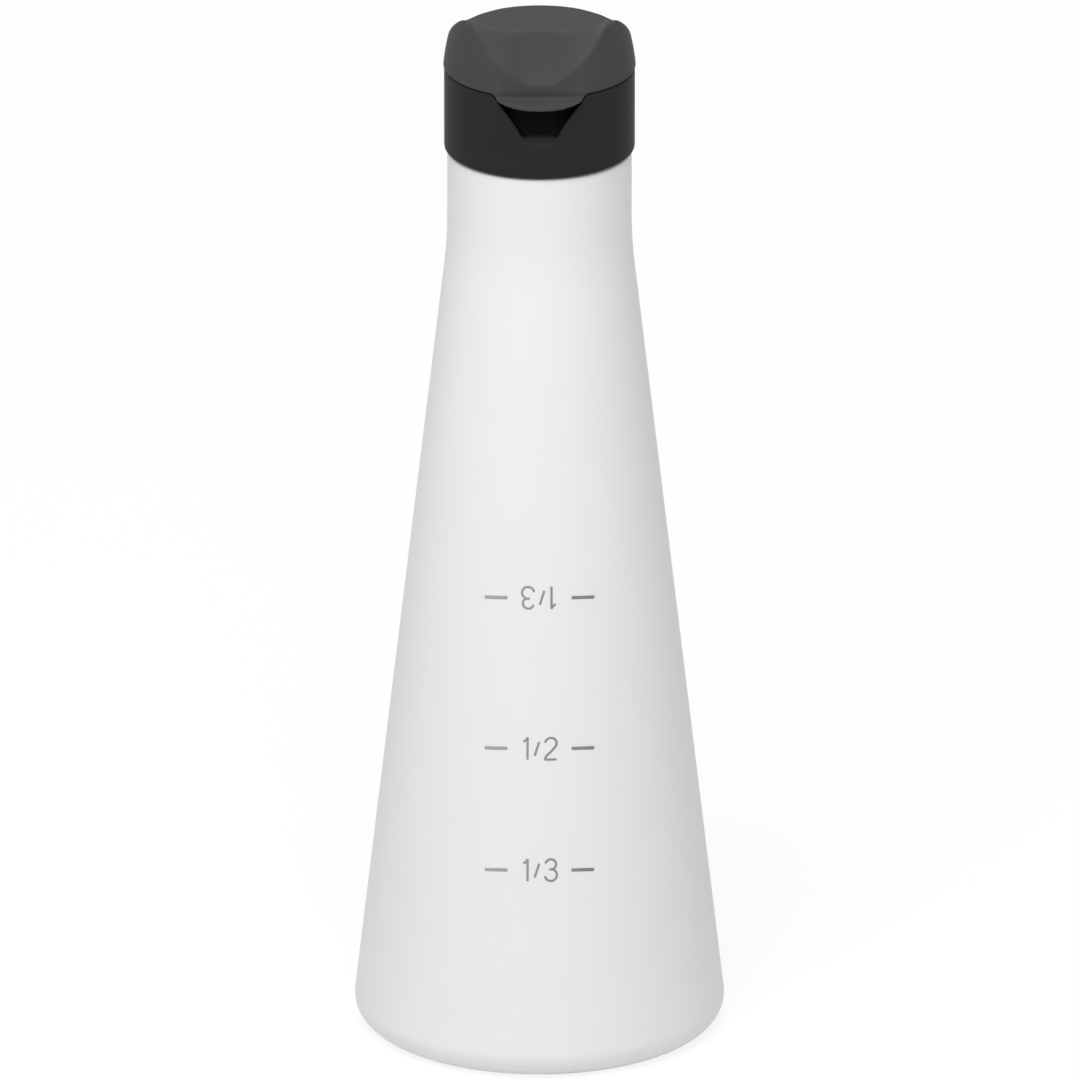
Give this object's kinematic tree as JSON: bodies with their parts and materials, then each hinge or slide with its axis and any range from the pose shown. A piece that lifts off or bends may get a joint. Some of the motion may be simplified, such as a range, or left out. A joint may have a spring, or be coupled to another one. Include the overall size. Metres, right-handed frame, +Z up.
{
  "type": "applicator bottle",
  "caption": "Conical squeeze bottle with fill marks, and a black screw-on cap with a spout and a hinged flip lid.",
  "frame": {"origin": "middle of the base, on the surface the bottle stands on", "axes": "+Z up along the bottle's axis, -Y towards the front with the thumb lip and the fill marks, +Y towards the lid's hinge"},
  "size_m": [0.065, 0.065, 0.1889],
  "materials": {
    "bottle_plastic": "natural white blow-moulded polyethylene, satin matte",
    "cap_plastic": "black injection-moulded polypropylene, satin",
    "lid_plastic": "black injection-moulded polypropylene, satin, fine grain on top",
    "mark_ink": "grey printed ink of the fill marks"
  },
  "bodies": {
    "bottle_body": {"bottle": "bottle_plastic"},
    "cap_body": {"cap_base": "cap_plastic", "living_hinge": "cap_plastic"},
    "lid_body": {"flip_lid": "lid_plastic"}
  },
  "joints": [
    {"name": "cap_lift", "type": "slide", "parent": "bottle_body", "child": "cap_body", "axis": [0, 0, 1], "range_m": [0, 0.03]},
    {"name": "lid_hinge", "type": "hinge", "parent": "cap_body", "child": "lid_body", "pos_m": [0, 0.0162, 0.1784], "axis": [-1, 0, 0], "range_deg": [0, 120]}
  ]
}
